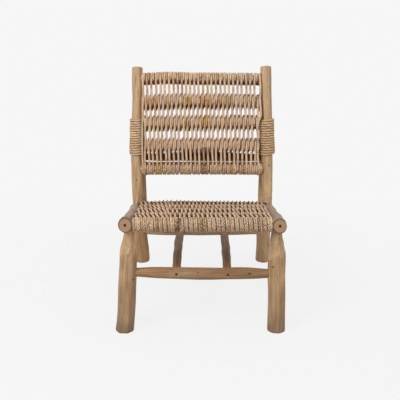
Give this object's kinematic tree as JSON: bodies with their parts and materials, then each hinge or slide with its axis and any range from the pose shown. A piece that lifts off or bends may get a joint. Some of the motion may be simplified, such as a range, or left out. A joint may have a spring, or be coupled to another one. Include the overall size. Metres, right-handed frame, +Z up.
{
  "type": "lounge chair",
  "caption": "Low lounge chair of round teak branches with tenoned frame, woven rope seat and back, and rope lashings where the rear legs meet the back posts.",
  "frame": {"origin": "on the floor under the middle of the chair's overall box", "axes": "+X to the right as seen by someone facing the chair, +Y from front to rear, +Z up"},
  "size_m": [0.569, 0.7148, 0.8118],
  "materials": {
    "light_teak": "debarked and sanded teak branch, raw and matte",
    "grey_teak": "debarked teak log with hewn facets, raw and weathered, matte",
    "brown_teak": "debarked teak branch, raw, warm brown, matte",
    "dark_teak": "debarked teak branch, raw, darker brown, matte",
    "rope": "twisted natural plant-fibre rope, matte, mottled tan",
    "screw_steel": "plain steel, dulled"
  },
  "bodies": {
    "root": {"front_leg_left": "grey_teak", "front_leg_right": "grey_teak", "rear_leg_left": "brown_teak", "rear_leg_right": "brown_teak", "side_rail_left": "light_teak", "side_rail_right": "light_teak", "back_post_left": "light_teak", "back_post_right": "light_teak", "front_stretcher": "brown_teak", "rear_stretcher": "dark_teak", "back_crossbar": "dark_teak", "brace_left": "dark_teak", "brace_right": "dark_teak", "front_brace_screws": "screw_steel", "rear_brace_screws": "screw_steel", "seat_front_rail": "light_teak", "seat_rod_front": "light_teak", "seat_rod_middle": "light_teak", "seat_rod_rear": "light_teak", "seat_rear_rail": "light_teak", "back_top_rail": "light_teak", "back_rod_upper": "light_teak", "back_rod_middle": "light_teak", "back_rod_lower": "light_teak", "back_bottom_rail": "light_teak", "seat_weave": "rope", "back_weave": "rope", "lashing_left": "rope", "lashing_right": "rope"}
  },
  "joints": []
}
